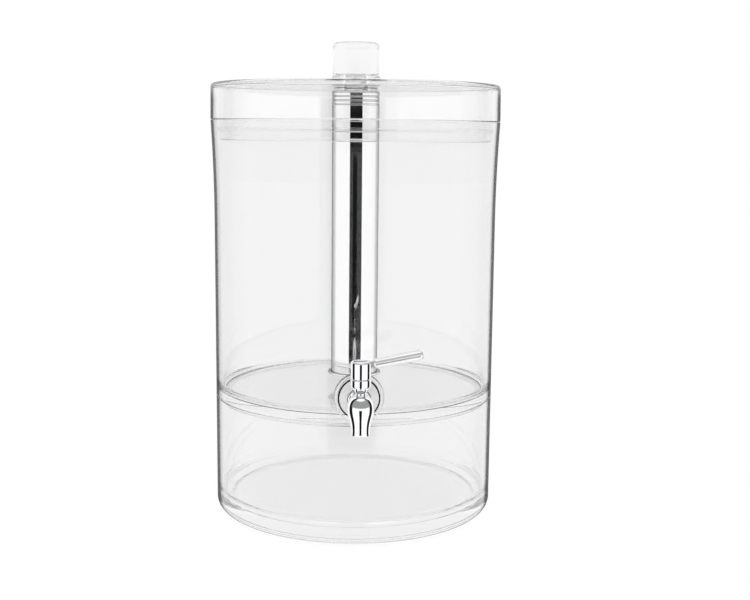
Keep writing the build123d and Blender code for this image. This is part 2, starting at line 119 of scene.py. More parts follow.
# Lid
FINE_EDGE = 0.4 * MM
LID_SKIRT = 3.4 * MM
LID_CORNER = 2.8 * MM
LID_UNDER_CORNER = 1.6 * MM
LID_TAPER = 0.4 * MM
PLUG_WALL = 3 * MM
PLUG_LEAD = 1.2 * MM
PLUG_INNER_EDGE = 0.8 * MM
PLUG_ROOT = 0.6 * MM
GROOVE = 1.3 * MM
SEAL_ROUND = 1.2 * MM
COLLAR_R = 20.2 * MM
COLLAR_EDGE = 1.2 * MM
COLLAR_FOOT = 1.5 * MM
FLANGE_HEIGHT = 2 * MM
FLANGE_EDGE = 0.3 * MM
SPIGOT_R = 9 * MM
SPIGOT_HOLE_R = SPIGOT_R + 0.1 * MM
KNOB_EDGE = 1.2 * MM
KNOB_CORNER = 3.6 * MM
THREAD_PITCH = 2 * MM
SPIGOT_THREAD = 0.6 * MM
CAP_THREAD = 0.7 * MM

# Ice tube
TUBE_WALL = 1 * MM
TUBE_INNER_EDGE = 0.3 * MM
CAP_GAP = 0.1 * MM
CAP_RELIEF = 1 * MM        # chamfer and run-out at the ends of the cap's thread
CAP_EDGE = 1.2 * MM
CAP_GROOVES_Z = (344.1 * MM, 347.5 * MM)
CAP_GROOVE = 0.7 * MM      # depth, and half the width
CAP_GROOVE_EDGE = 0.2 * MM
SOCKET_GAP = 1 * MM        # under the knob's spigot
FOOT_EDGE = 0.7 * MM
BASE_PLUG_GAP = 0.02 * MM
BASE_PLUG_EDGE = 0.5 * MM

# Tap's spring
SPRING_R = 3.3 * MM
SPRING_WIRE_R = 0.3 * MM
SPRING_TURNS = 4
SPRING_STEPS = 32          # along the wire, to a turn
SPRING_SIDES = 10
SPRING_EASE = 0.45         # how much closer than even its end turns lie


# ---- Mesh helpers -----------------------------------------------------------
def rounded(corners):
    """Points of a closed outline. A corner is (radius, height, round), with an arc where round > 0.

    A point HOLD away from each arc keeps the long wall beside it flat in shading."""
    spots = [Vector(corner[:2]) for corner in corners]
    sides = []
    for i, (here, (_, _, size)) in enumerate(zip(spots, corners)):
        before = spots[i - 1] - here
        after = spots[(i + 1) % len(corners)] - here
        opening = before.angle(after)
        sides.append((before, after, opening, size / math.tan(opening / 2) if size else 0.0))
    points = []
    for i, (here, (_, _, size)) in enumerate(zip(spots, corners)):
        if not size:
            points.append(here)
            continue
        before, after, opening, reach = sides[i]
        room_before = before.length - reach - sides[i - 1][3]
        room_after = after.length - reach - sides[(i + 1) % len(corners)][3]
        before, after = before.normalized(), after.normalized()
        centre = here + (before + after).normalized() * (size / math.sin(opening / 2))
        start, end = here + before * reach - centre, here + after * reach - centre
        turn = math.pi - opening
        if start.x * end.y < start.y * end.x:
            turn = -turn
        steps = max(2, math.ceil(abs(turn) / ARC_STEP))
        if room_before > 3 * HOLD:
            points.append(here + before * (reach + HOLD))
        for k in range(steps + 1):
            angle = turn * k / steps
            c, s = math.cos(angle), math.sin(angle)
            points.append(centre + Vector((start.x * c - start.y * s, start.x * s + start.y * c)))
        if room_after > 3 * HOLD:
            points.append(here + after * (reach + HOLD))
    return points


def smooth(mesh):
    """Smooth faces between sharp edges."""
    mesh.polygons.foreach_set("use_smooth", [True] * len(mesh.polygons))
    mesh.set_sharp_from_angle(angle=SHARP)


def finish_mesh(name, bm):
    """Make an object of a bmesh, with outward normals."""
    bmesh.ops.recalc_face_normals(bm, faces=bm.faces)
    mesh = bpy.data.meshes.new(name)
    bm.to_mesh(mesh)
    bm.free()
    smooth(mesh)
    piece = bpy.data.objects.new(name, mesh)
    bpy.context.scene.collection.objects.link(piece)
    return piece


def lathe(name, corners, steps=FINE, place=None, shape=None):
    """Closed solid of revolution. shape(radius, height, angle) may change a point's radius."""
    bm = bmesh.new()
    rings = []
    for r, z in rounded(corners):
        if r < ON_AXIS:
            rings.append([bm.verts.new((0, 0, z))])
            continue
        ring = []
        for k in range(steps):
            angle = 2 * math.pi * k / steps
            radius = shape(r, z, angle) if shape else r
            ring.append(bm.verts.new((radius * math.cos(angle), radius * math.sin(angle), z)))
        rings.append(ring)
    for i, ring in enumerate(rings):
        above = rings[(i + 1) % len(rings)]
        if len(ring) == 1 and len(above) == 1:
            continue
        for k in range(steps):
            nxt = (k + 1) % steps
            face = [ring[k % len(ring)], ring[nxt % len(ring)]]
            face += [above[nxt % len(above)], above[k % len(above)]]
            bm.faces.new(list(dict.fromkeys(face)))      # a point on the axis counts once
    if place is not None:
        bmesh.ops.transform(bm, matrix=place, verts=bm.verts)
    return finish_mesh(name, bm)


def join_solids(base, other, operation):
    """Exact boolean of two solids; the second is used up."""
    change = base.modifiers.new("join", "BOOLEAN")
    change.operation = operation
    change.solver = "EXACT"
    change.object = other
    solid = base.evaluated_get(bpy.context.evaluated_depsgraph_get())
    mesh = bpy.data.meshes.new_from_object(solid)
    base.modifiers.clear()
    base.data = mesh
    bpy.data.objects.remove(other)
    smooth(mesh)
    return base


def dress(piece, material, body, slot, *nodes):
    """Give a piece its material, parent it to its body's empty and hide the CAD nodes it stands
    for.
    """
    piece.data.materials.clear()
    piece.data.materials.append(material)
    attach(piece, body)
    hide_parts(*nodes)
    return piece


# ---- Material helpers -------------------------------------------------------
def new_material(name):
    material = bpy.data.materials.new(name)
    material.use_nodes = True
    nodes = material.node_tree.nodes
    nodes.clear()
    return material, nodes, material.node_tree.links


def add(nodes, kind, **inputs):
    node = nodes.new(kind)
    for key, value in inputs.items():
        socket = key.replace("_", " ")
        if socket in node.inputs:
            node.inputs[socket].default_value = value
        else:
            setattr(node, key, value)
    return node


def noise(nodes, links, scale, detail, stretch=(1, 1, 1)):
    """Noise in the piece's own coordinates, in metres, so the grain has a real size."""
    where = add(nodes, "ShaderNodeTexCoord")
    mapping = add(nodes, "ShaderNodeMapping", Scale=stretch)
    field = add(nodes, "ShaderNodeTexNoise", Scale=scale, Detail=detail)
    links.new(where.outputs["Object"], mapping.inputs["Vector"])
    links.new(mapping.outputs["Vector"], field.inputs["Vector"])
    return field.outputs["Fac"]


def feed(links, sockets, values):
    """Link each socket to its value, or set it where the value is a number."""
    for socket, value in zip(sockets, values):
        if isinstance(value, (int, float)):
            socket.default_value = value
        else:
            links.new(value, socket)


def calc(nodes, links, operation, first, second=0.0, clamp=False):
    node = add(nodes, "ShaderNodeMath", operation=operation, use_clamp=clamp)
    feed(links, node.inputs, (first, second))
    return node.outputs["Value"]


def remap(nodes, links, value, source, target, kind="LINEAR"):
    """Map one pair of limits to another, held at both ends."""
    node = add(nodes, "ShaderNodeMapRange", interpolation_type=kind)
    for name, limit in zip(("From Min", "From Max", "To Min", "To Max"), (*source, *target)):
        node.inputs[name].default_value = limit
    links.new(value, node.inputs["Value"])
    return node.outputs["Result"]


def colour_ramp(nodes, links, value, low, high):
    """Blend from one colour to another."""
    node = add(nodes, "ShaderNodeValToRGB")
    for element, colour in zip(node.color_ramp.elements, (low, high)):
        element.color = (*colour, 1)
    links.new(value, node.inputs["Fac"])
    return node.outputs["Color"]


def bump(nodes, links, height, strength, distance):
    node = add(nodes, "ShaderNodeBump", Strength=strength, Distance=distance)
    links.new(height, node.inputs["Height"])
    return node.outputs["Normal"]


# ---- Materials --------------------------------------------------------------
HAZE = 0.01                 # how much the smudges take from a clear tint
SMUDGES = (60, 4)           # noise scale per metre, and detail
RIPPLES = (45, 2)
RIPPLE_DEPTH = 0.0004
LAMP_TINT = (0.96, 0.96, 0.96, 1)
# The clear walls' painted dark outline: painted shade in their colour at grazing angles.
OUTLINE_FACING = (0.765, 0.815)     # Layer Weight facing where an outline starts and is full
UPRIGHT = (0.6, 0.25)               # a normal's Z where a wall starts to count as upright, and does
OUTLINE_SHADE = 0.02
METAL_CLOUDS = (30, 3)
METAL_SHADE = 0.96          # colour of the clouds' dark side, as a share
MARK_DETAIL = 6
MARK_DEPTH = 0.00005
RUBBER_GRAIN = (2500, 4)
RUBBER_SHADE = 0.7
RUBBER_ROUGH = (0.5, 0.7)
RUBBER_BUMP = 0.3


def painted_outline_share(nodes, links, radius):
    """Mask of a painted dark outline (painted shade): 1 where an upright wall outside a radius, met
    from outside, turns away from the eye.
    """
    facing = add(nodes, "ShaderNodeLayerWeight", Blend=0.5)
    turned_away = remap(nodes, links, facing.outputs["Facing"], OUTLINE_FACING, (0.0, 1.0))
    geometry = add(nodes, "ShaderNodeNewGeometry")
    normal = add(nodes, "ShaderNodeSeparateXYZ")
    links.new(geometry.outputs["Normal"], normal.inputs["Vector"])
    level = calc(nodes, links, "ABSOLUTE", normal.outputs["Z"])
    upright = remap(nodes, links, level, UPRIGHT, (0.0, 1.0))
    where = add(nodes, "ShaderNodeTexCoord")
    flat = add(nodes, "ShaderNodeVectorMath", operation="MULTIPLY")
    flat.inputs[1].default_value = (1, 1, 0)
    links.new(where.outputs["Object"], flat.inputs[0])
    reach = add(nodes, "ShaderNodeVectorMath", operation="LENGTH")
    links.new(flat.outputs["Vector"], reach.inputs[0])
    outside = calc(nodes, links, "GREATER_THAN", reach.outputs["Value"], radius)
    wall = calc(nodes, links, "MULTIPLY", upright, outside)
    skin = calc(nodes, links, "SUBTRACT", wall, geometry.outputs["Backfacing"], clamp=True)
    return calc(nodes, links, "MULTIPLY", turned_away, skin)


def clear_material(name, tint, ior, roughness, waviness, painted_outline_r=None):
    """Clear plastic. tint is what two faces pass. Upright walls outside the outline radius get
    painted
    shade: their colour darkens where they turn away from the eye, a painted dark outline for a
    thick clear wall's edges."""
    material, nodes, links = new_material(name)
    out = add(nodes, "ShaderNodeOutputMaterial")
    glass = add(nodes, "ShaderNodeBsdfPrincipled")
    glass.inputs["Transmission Weight"].default_value = 1.0
    glass.inputs["IOR"].default_value = ior
    glass.inputs["Roughness"].default_value = roughness
    smudge = noise(nodes, links, *SMUDGES)
    ripple = noise(nodes, links, *RIPPLES)
    links.new(bump(nodes, links, ripple, waviness, RIPPLE_DEPTH), glass.inputs["Normal"])
    colour = colour_ramp(nodes, links, smudge, [c - HAZE for c in tint], tint)
    if painted_outline_r:
        # Painted shade: the colour darkens to OUTLINE_SHADE along the outline mask, a painted dark
        # outline.
        painted_outline = add(nodes, "ShaderNodeMix", data_type="RGBA")
        links.new(painted_outline_share(nodes, links, painted_outline_r), painted_outline.inputs[0])
        links.new(colour, painted_outline.inputs[6])
        painted_outline.inputs[7].default_value = (OUTLINE_SHADE, OUTLINE_SHADE, OUTLINE_SHADE, 1)
        colour = painted_outline.outputs[2]
    links.new(colour, glass.inputs["Base Color"])
    # Lamps shine through, so the floor and the pieces inside stay lit.
    path = add(nodes, "ShaderNodeLightPath")
    through = add(nodes, "ShaderNodeBsdfTransparent", Color=LAMP_TINT)
    choose = add(nodes, "ShaderNodeMixShader")
    links.new(path.outputs["Is Shadow Ray"], choose.inputs[0])
    links.new(glass.outputs["BSDF"], choose.inputs[1])
    links.new(through.outputs["BSDF"], choose.inputs[2])
    links.new(choose.outputs["Shader"], out.inputs["Surface"])
    return material


def metal_material(name, colour, rough, scale, stretch, scratch, edge=1.0, metallic=1.0):
    """Polished metal with faint polishing marks that vary its roughness between two limits."""
    material, nodes, links = new_material(name)
    out = add(nodes, "ShaderNodeOutputMaterial")
    metal = add(nodes, "ShaderNodeBsdfPrincipled")
    metal.inputs["Metallic"].default_value = metallic
    # Specular Tint below 1 darkens the reflection towards grazing angles: a real edge tint, set low
    # as painted shade along the edges.
    metal.inputs["Specular Tint"].default_value = (edge, edge, edge, 1)
    marks = noise(nodes, links, scale, MARK_DETAIL, stretch)
    cloud = noise(nodes, links, *METAL_CLOUDS)
    shade = colour_ramp(nodes, links, cloud, [c * METAL_SHADE for c in colour], colour)
    links.new(shade, metal.inputs["Base Color"])
    links.new(remap(nodes, links, marks, (0.0, 1.0), rough), metal.inputs["Roughness"])
    links.new(bump(nodes, links, marks, scratch, MARK_DEPTH), metal.inputs["Normal"])
    links.new(metal.outputs["BSDF"], out.inputs["Surface"])
    return material


def rubber_material(name, colour):
    material, nodes, links = new_material(name)
    out = add(nodes, "ShaderNodeOutputMaterial")
    rubber = add(nodes, "ShaderNodeBsdfPrincipled")
    grain = noise(nodes, links, *RUBBER_GRAIN)
    shade = colour_ramp(nodes, links, grain, [c * RUBBER_SHADE for c in colour], colour)
    links.new(shade, rubber.inputs["Base Color"])
    links.new(remap(nodes, links, grain, (0.0, 1.0), RUBBER_ROUGH), rubber.inputs["Roughness"])
    links.new(bump(nodes, links, grain, RUBBER_BUMP, MARK_DEPTH), rubber.inputs["Normal"])
    links.new(rubber.outputs["BSDF"], out.inputs["Surface"])
    return material


EVEN = (1, 1, 1)
acrylic = clear_material(
    "clear_acrylic",
    (0.93, 0.93, 0.93),
    ior=1.49,
    roughness=0.0,
    waviness=0.006,
    painted_outline_r=116.5 * MM,
)
lid_acrylic = clear_material(
    "clear_acrylic_lid",
    (0.985, 0.985, 0.985),
    ior=1.49,
    roughness=0.0,
    waviness=0.001,
    painted_outline_r=119 * MM,
)
silicone = clear_material(
    "clear_silicone", (0.98, 0.98, 0.98), ior=1.41, roughness=0.05, waviness=0.01
)
# The steel's low edge tint is painted shade: a dark outline where the tube, cap and foot turn away
# from the eye.
steel = metal_material(
    "polished_steel",
    (0.95, 0.95, 0.955),
    rough=(0.01, 0.05),
    scale=220,
    stretch=(1, 1, 0.05),
    scratch=0.02,
    edge=0.35,
)
chrome = metal_material(
    "chrome", (0.93, 0.935, 0.95), rough=(0.015, 0.05), scale=300, stretch=EVEN, scratch=0.02
)
satin_chrome = metal_material(
    "satin_chrome",
    (0.98, 0.98, 0.98),
    rough=(0.34, 0.42),
    scale=700,
    stretch=EVEN,
    scratch=0.05,
    metallic=0.35,
)
lever_chrome = metal_material(
    "lever_chrome",
    (0.98, 0.98, 0.98),
    rough=(0.15, 0.22),
    scale=700,
    stretch=EVEN,
    scratch=0.05,
    metallic=0.75,
)
turned_steel = metal_material(
    "turned_steel",
    (0.72, 0.72, 0.73),
    rough=(0.15, 0.32),
    scale=900,
    stretch=(1, 1, 6),
    scratch=0.2,
)
wire_steel = metal_material(
    "spring_steel", (0.6, 0.6, 0.61), rough=(0.2, 0.35), scale=1500, stretch=EVEN, scratch=0.2
)
seal_rubber = rubber_material("seal_rubber", (0.04, 0.04, 0.042))


# ---- Jar --------------------------------------------------------------------
def wall_r(z, inset):
    """Radius of the wall at a height: straight, then a tangent arc out to the rim."""
    if z <= FLARE_START_Z:
        return BODY_R - inset
    run = RIM_Z - FLARE_START_Z
    radius = (run**2 + (RIM_R - BODY_R) ** 2) / (2 * (RIM_R - BODY_R))
    return BODY_R - inset + radius - math.sqrt(radius**2 - (z - FLARE_START_Z) ** 2)


def wall_points(heights, inset):
    """Points up a wall between two heights, ends left out."""
    low_z, high_z = heights
    count = math.ceil((high_z - low_z) / WALL_STEP)
    levels = [low_z + (high_z - low_z) * k / count for k in range(1, count)]
    return [(wall_r(z, inset), z, 0) for z in levels]


def make_pedestal():
    inner_r = BODY_R - PEDESTAL_WALL
    top_z = SEAM_Z - HAIR
    corners = [
        (0, 0, 0),
        (BODY_R, 0, BASE_CORNER),
        *[(BODY_R, z, 0) for z in PEDESTAL_RINGS_Z],
        (BODY_R, top_z, SEAM_EDGE),
        (inner_r, top_z, SEAM_EDGE),
        *[(inner_r, z, 0) for z in reversed(PEDESTAL_RINGS_Z)],
        (inner_r, PEDESTAL_FLOOR_Z, PEDESTAL_FILLET),
        (0, PEDESTAL_FLOOR_Z, 0),
    ]
    return lathe("pedestal_shell", corners)


def along_y(y, lean):
    """Place on the shank's line, tipped from +Z by lean degrees about X: 90 points outward."""
    place = Matrix.Translation((0, y, SHANK_Z))
    return place @ Matrix.Rotation(math.radians(lean), 4, "X")


def make_tank():
    """Tank with its locating ring, the pads on both sides of its wall and the tap's hole."""
    locator_r = BODY_R - PEDESTAL_WALL - LOCATOR_GAP
    corners = [
        (0, SEAM_Z, 0),
        (locator_r - LOCATOR_WIDTH, SEAM_Z, 0),
        (locator_r - LOCATOR_WIDTH, RING_BOTTOM_Z, LOCATOR_EDGE),
        (locator_r, RING_BOTTOM_Z, LOCATOR_EDGE),
        (locator_r, SEAM_Z, 0),
        (BODY_R, SEAM_Z, SEAM_EDGE),
        *wall_points(OUTER_RINGS_Z, 0),
        (RIM_R, RIM_Z - HAIR, RIM_EDGE),
        (RIM_R - WALL, RIM_Z - HAIR, RIM_EDGE),
        *reversed(wall_points(INNER_RINGS_Z, WALL)),
        (BODY_R - WALL, TANK_FLOOR_Z, TANK_FILLET),
        (0, TANK_FLOOR_Z, 0),
    ]
    tank = lathe("tank_shell", corners)
    mid_wall_y = -BODY_R + WALL / 2
    for name, radius, face_y in (
        ("outer", OUTER_PAD_R, PAD_FACE_Y),
        ("inner", INNER_PAD_R, INNER_PAD_Y),
    ):
        length = abs(face_y - mid_wall_y)
        corners = [(0, 0, 0), (radius, 0, 0), (radius, length, PAD_EDGE), (0, length, 0)]
        place = along_y(mid_wall_y, 90 if face_y < mid_wall_y else -90)
        join_solids(tank, lathe(name, corners, SMALL * 2, place), "UNION")
    corners = [
        (0, 0, 0),
        (TAP_HOLE_R, 0, 0),
        (TAP_HOLE_R, TAP_HOLE_LENGTH, 0),
        (0, TAP_HOLE_LENGTH, 0),
    ]
    hole = lathe("hole", corners, SMALL, along_y(TAP_HOLE_Y, 90))
    return join_solids(tank, hole, "DIFFERENCE")


def make_lid():
    """Lid disc, skirt and bonded plug ring in one clear piece."""
    inner_r = PLUG_R - PLUG_WALL
    corners = [
        (SPIGOT_HOLE_R, LID_UNDER_Z, 0),
        (inner_r, LID_UNDER_Z, FINE_EDGE),
        (inner_r, PLUG_BOTTOM_Z, PLUG_INNER_EDGE),
        (PLUG_R, PLUG_BOTTOM_Z, PLUG_LEAD),
        (PLUG_R, SEAL_BOTTOM_Z, 0),
        (PLUG_R - GROOVE, SEAL_BOTTOM_Z, 0),
        (PLUG_R - GROOVE, SEAL_TOP_Z, 0),
        (PLUG_R, SEAL_TOP_Z, 0),
        (PLUG_R, LID_UNDER_Z, PLUG_ROOT),
        (RIM_R - LID_SKIRT, LID_UNDER_Z, LID_UNDER_CORNER),
        (RIM_R - LID_SKIRT, RIM_Z, FINE_EDGE),
        (RIM_R, RIM_Z, SEAM_EDGE),
        (RIM_R - LID_TAPER, LID_TOP_Z, LID_CORNER),
        (SPIGOT_HOLE_R, LID_TOP_Z, 0),
    ]
    return lathe("lid_shell", corners)


def make_seal():
    inner_r = PLUG_R - GROOVE + HAIR
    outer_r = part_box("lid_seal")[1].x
    low_z, high_z = SEAL_BOTTOM_Z + HAIR, SEAL_TOP_Z - HAIR
    corners = [
        (inner_r, low_z, 0),
        (outer_r, low_z, SEAL_ROUND),
        (outer_r, high_z, SEAL_ROUND),
        (inner_r, high_z, 0),
    ]
    return lathe("lid_seal_ring", corners)


def make_collar():
    flange_top_z = LID_TOP_Z + FLANGE_HEIGHT
    corners = [
        (SPIGOT_HOLE_R, LID_TOP_Z + HAIR, 0),
        (FLANGE_R, LID_TOP_Z + HAIR, FLANGE_EDGE),
        (FLANGE_R, flange_top_z, COLLAR_EDGE),
        (COLLAR_R, flange_top_z, COLLAR_FOOT),
        (COLLAR_R, COLLAR_TOP_Z, COLLAR_EDGE),
        (SPIGOT_HOLE_R, COLLAR_TOP_Z, 0),
    ]
    return lathe("knob_flange", corners, SMALL * 2)


def thread_shape(line_r, low_z, high_z, depth):
    """Shape for lathe: a helical groove in the line at line_r, fading out at its two ends."""

    def shape(r, z, angle):
        if abs(r - line_r) > SAME or z > high_z:
            return r
        to_ends = min((z - low_z) / THREAD_PITCH, (high_z - z) / THREAD_PITCH)
        phase = (z / THREAD_PITCH - angle / (2 * math.pi)) % 1
        return r - depth * min(1, max(0, to_ends)) * (1 - abs(2 * phase - 1))

    return shape


def thread_points(r, low_z, high_z):
    """Points along a threaded line, six to a turn, ends left out."""
    count = math.ceil((high_z - low_z) / THREAD_PITCH * 6)
    return [(r, low_z + (high_z - low_z) * k / count, 0) for k in range(1, count)]


def make_knob():
    corners = [
        (0, SPIGOT_END_Z, 0),
        (SPIGOT_R, SPIGOT_END_Z, 0),
        *thread_points(SPIGOT_R, SPIGOT_END_Z, CAP_TOP_Z),
        (SPIGOT_R, CAP_TOP_Z, 0),
        (SPIGOT_R, KNOB_BOTTOM_Z + HAIR, 0),
        (KNOB_R, KNOB_BOTTOM_Z + HAIR, KNOB_EDGE),
        (KNOB_R, KNOB_TOP_Z, KNOB_CORNER),
        (0, KNOB_TOP_Z, 0),
    ]
    shape = thread_shape(SPIGOT_R, SPIGOT_END_Z, CAP_TOP_Z, SPIGOT_THREAD)
    return lathe("clear_knob", corners, SMALL * 2, shape=shape)


# ---- Ice tube ---------------------------------------------------------------
def make_tube():
    inner_r = TUBE_R - TUBE_WALL
    corners = [
        (inner_r, TUBE_BOTTOM_Z, 0),
        (TUBE_R, TUBE_BOTTOM_Z, 0),
        (TUBE_R, TUBE_TOP_Z, FINE_EDGE),
        (inner_r, TUBE_TOP_Z, TUBE_INNER_EDGE),
    ]
    return lathe("polished_tube", corners, SMALL * 2)


def make_tube_cap():
    """Cap with two grip grooves, a thread for the tube and a socket for the knob's spigot."""
    spigot_r = TUBE_R - TUBE_WALL - CAP_GAP
    thread_end_z = CAP_SHOULDER_Z - CAP_RELIEF
    grooves = []
    for z in CAP_GROOVES_Z:
        grooves += [
            (TUBE_R, z - CAP_GROOVE, CAP_GROOVE_EDGE),
            (TUBE_R - CAP_GROOVE, z - CAP_GROOVE / 2, CAP_GROOVE_EDGE),
            (TUBE_R - CAP_GROOVE, z + CAP_GROOVE / 2, CAP_GROOVE_EDGE),
            (TUBE_R, z + CAP_GROOVE, CAP_GROOVE_EDGE),
        ]
    corners = [
        (0, CAP_END_Z, 0),
        (spigot_r - CAP_RELIEF, CAP_END_Z, 0),
        (spigot_r, CAP_END_Z + CAP_RELIEF, 0),
        *thread_points(spigot_r, CAP_END_Z + CAP_RELIEF, thread_end_z),
        (spigot_r, thread_end_z, 0),
        (spigot_r, CAP_SHOULDER_Z, 0),
        (TUBE_R, CAP_SHOULDER_Z, FINE_EDGE),
        *grooves,
        (TUBE_R, CAP_TOP_Z, CAP_EDGE),
        (SPIGOT_HOLE_R, CAP_TOP_Z, 0),
        (SPIGOT_HOLE_R, SPIGOT_END_Z - SOCKET_GAP, 0),
        (0, SPIGOT_END_Z - SOCKET_GAP, 0),
    ]
    shape = thread_shape(spigot_r, CAP_END_Z, thread_end_z, CAP_THREAD)
    return lathe("threaded_cap", corners, SMALL * 2, shape=shape)


def make_tube_base():
    plug_r = TUBE_R - TUBE_WALL - BASE_PLUG_GAP
    corners = [
        (0, FOOT_Z, 0),
        (FOOT_R, FOOT_Z, FOOT_EDGE),
        (FOOT_R, TUBE_BOTTOM_Z, FOOT_EDGE),
        (plug_r, TUBE_BOTTOM_Z, 0),
        (plug_r, BASE_PLUG_Z, BASE_PLUG_EDGE),
        (0, BASE_PLUG_Z, 0),
    ]
    return lathe("tube_foot", corners, SMALL * 2)


# ---- Tap --------------------------------------------------------------------
def make_spring():
    """Coil spring between the stem's collar and the gland ring, wound closer towards its ends."""
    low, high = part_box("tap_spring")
    bottom_z = low.z + SPRING_WIRE_R + HAIR
    rise = high.z - HAIR - SPRING_WIRE_R - bottom_z
    steps = SPRING_STEPS * SPRING_TURNS
    bm = bmesh.new()
    rings = []
    for i in range(steps + 1):
        share = i / steps
        angle = 2 * math.pi * SPRING_TURNS * share
        outward = Vector((math.cos(angle), math.sin(angle), 0))
        z = bottom_z + rise * (share - SPRING_EASE * math.sin(2 * math.pi * share) / (2 * math.pi))
        middle = Vector((0, TAP_Y, z)) + outward * SPRING_R
        ring = []
        for k in range(SPRING_SIDES):
            turn = 2 * math.pi * k / SPRING_SIDES
            offset = outward * math.cos(turn) + Vector((0, 0, math.sin(turn)))
            ring.append(bm.verts.new(middle + offset * SPRING_WIRE_R))
        rings.append(ring)
    for ring, after in zip(rings, rings[1:]):
        for k in range(SPRING_SIDES):
            nxt = (k + 1) % SPRING_SIDES
            bm.faces.new((ring[k], ring[nxt], after[nxt], after[k]))
    bm.faces.new(rings[0])
    bm.faces.new(rings[-1])
    return finish_mesh("valve_spring", bm)


# ---- Pieces and what each stands for ----------------------------------------
dress(make_pedestal(), acrylic, "pedestal", "clear_acrylic", "pedestal")
tank_nodes = ("tank", "tank_ring", "outer_tap_pad", "inner_tap_pad")
dress(make_tank(), acrylic, "tank", "clear_acrylic", *tank_nodes)
dress(make_lid(), lid_acrylic, "lid", "clear_acrylic", "lid_cap", "lid_inner_ring")
dress(make_seal(), silicone, "lid", "clear_silicone", "lid_seal")
dress(make_collar(), lid_acrylic, "lid", "clear_acrylic", "knob_collar")
dress(make_knob(), acrylic, "lid", "clear_acrylic", "knob")
dress(make_tube(), steel, "ice_tube", "polished_steel", "ice_tube")
dress(make_tube_cap(), steel, "lid", "polished_steel", "tube_cap")
dress(make_tube_base(), steel, "ice_tube", "polished_steel", "tube_base")
spring = dress(make_spring(), wire_steel, "tank", "spring_steel", "tap_spring")
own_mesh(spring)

# ---- CAD nodes that keep their own mesh -------------------------------------
KEPT = {
    "knob_washer": silicone,
    "tube_cap_washer": silicone,
    "tube_seal": silicone,
    "tap_outer_gasket": silicone,
    "tap_inner_gasket": silicone,
    "tap_body": chrome,
    "tap_flange": satin_chrome,
    "tap_bonnet": chrome,
    "gland_ring": chrome,
    "tap_head": chrome,
    "tap_lever": lever_chrome,
    "tap_back_washer": turned_steel,
    "tap_nut": turned_steel,
    "valve_stem": turned_steel,
    "lever_pin": turned_steel,
    "stem_o_ring": seal_rubber,
    "valve_washer": seal_rubber,
}
for node, material in KEPT.items():
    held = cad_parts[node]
    if held.material_slots:
        held.material_slots[0].material = material
    else:
        held.data.materials.append(material)

# ---- Studio -----------------------------------------------------------------
VIEW_TURN = math.radians(-1.85)     # the camera stands a little to the left of the tap
DISTANCE = 0.958
HEIGHT = 0.320
PITCH = math.radians(8.498)
YAW = math.radians(1.05)
ROLL = math.radians(0.546)
FOCAL_MM = 54.26
SENSOR_MM = 36
VIEW_END = 50

# The room's strips are given by heading in degrees round +Z, where 0 is the tap's side (-Y) and 90
# is +X: start, end and how far they fade beyond. Tops and bottoms are limits of a direction's Z.
TUBE_STRIP = (-28, 30, 2)
TUBE_STRIP_TOP = (0.06, 0.1)
STEEP = (0.45, 0.7)                 # up or down from here, the tube shows the plain room
TAP_STRIPS = ((-108, -77, 4), (79, 108, 4))
STAND_STRIP = (-14, 9, 2)
STAND_TOP = (-0.16, -0.10)
CANOPY = (-75, 75, 15)
CANOPY_BOTTOM = (0.02, 0.12)
CANOPY_TOP = (0.75, 0.9)
FRONT_STRIP = (-20, 12, 6)
FRONT_BOTTOM = (-0.285, -0.27)
FRONT_TOP = (0.04, 0.07)
FLANK_START = (138, 146)
FLANK_END = (166, 172)
FLANK_TOP = (0.03, 0.045)
ECHO_TOP = (-0.1, -0.05)
BEHIND = (105, 125)                 # headings beyond these are the backdrop's side

TUBE_LIGHT = 1.35
TAP_LIGHT = 1.15
GLASS_FRONT_LIGHT = 1.15
GLASS_LIGHT = 0.93
CANOPY_LIGHT = 0.35
FLANK_LIGHT = 0.2
UNLIT = 0.01

FLOOR_R = 6
FLOOR_Z = -0.0002
FLOOR_PAPER = (0.12, 0.12, 0.12, 1)
FLOOR_GLOW = (0.9, 0.9, 0.9, 1)


def make_camera():
    right = Vector((math.cos(YAW), -math.sin(YAW), 0))
    ahead = Vector((math.sin(YAW), math.cos(YAW), 0))
    look = ahead * math.cos(PITCH) - Vector((0, 0, math.sin(PITCH)))
    up = ahead * math.sin(PITCH) + Vector((0, 0, math.cos(PITCH)))
    side = right * math.cos(ROLL) + up * math.sin(ROLL)
    top = up * math.cos(ROLL) - right * math.sin(ROLL)
    axes = Matrix((side, top, -look)).transposed().to_4x4()
    turn = Matrix.Rotation(VIEW_TURN, 4, "Z")
    data = bpy.data.cameras.new("camera")
    data.lens = FOCAL_MM
    data.sensor_width = SENSOR_MM
    data.clip_end = VIEW_END
    camera = bpy.data.objects.new("camera", data)
    camera.matrix_world = turn @ Matrix.Translation((0, -DISTANCE, HEIGHT)) @ axes
    bpy.context.scene.collection.objects.link(camera)
    bpy.context.scene.camera = camera


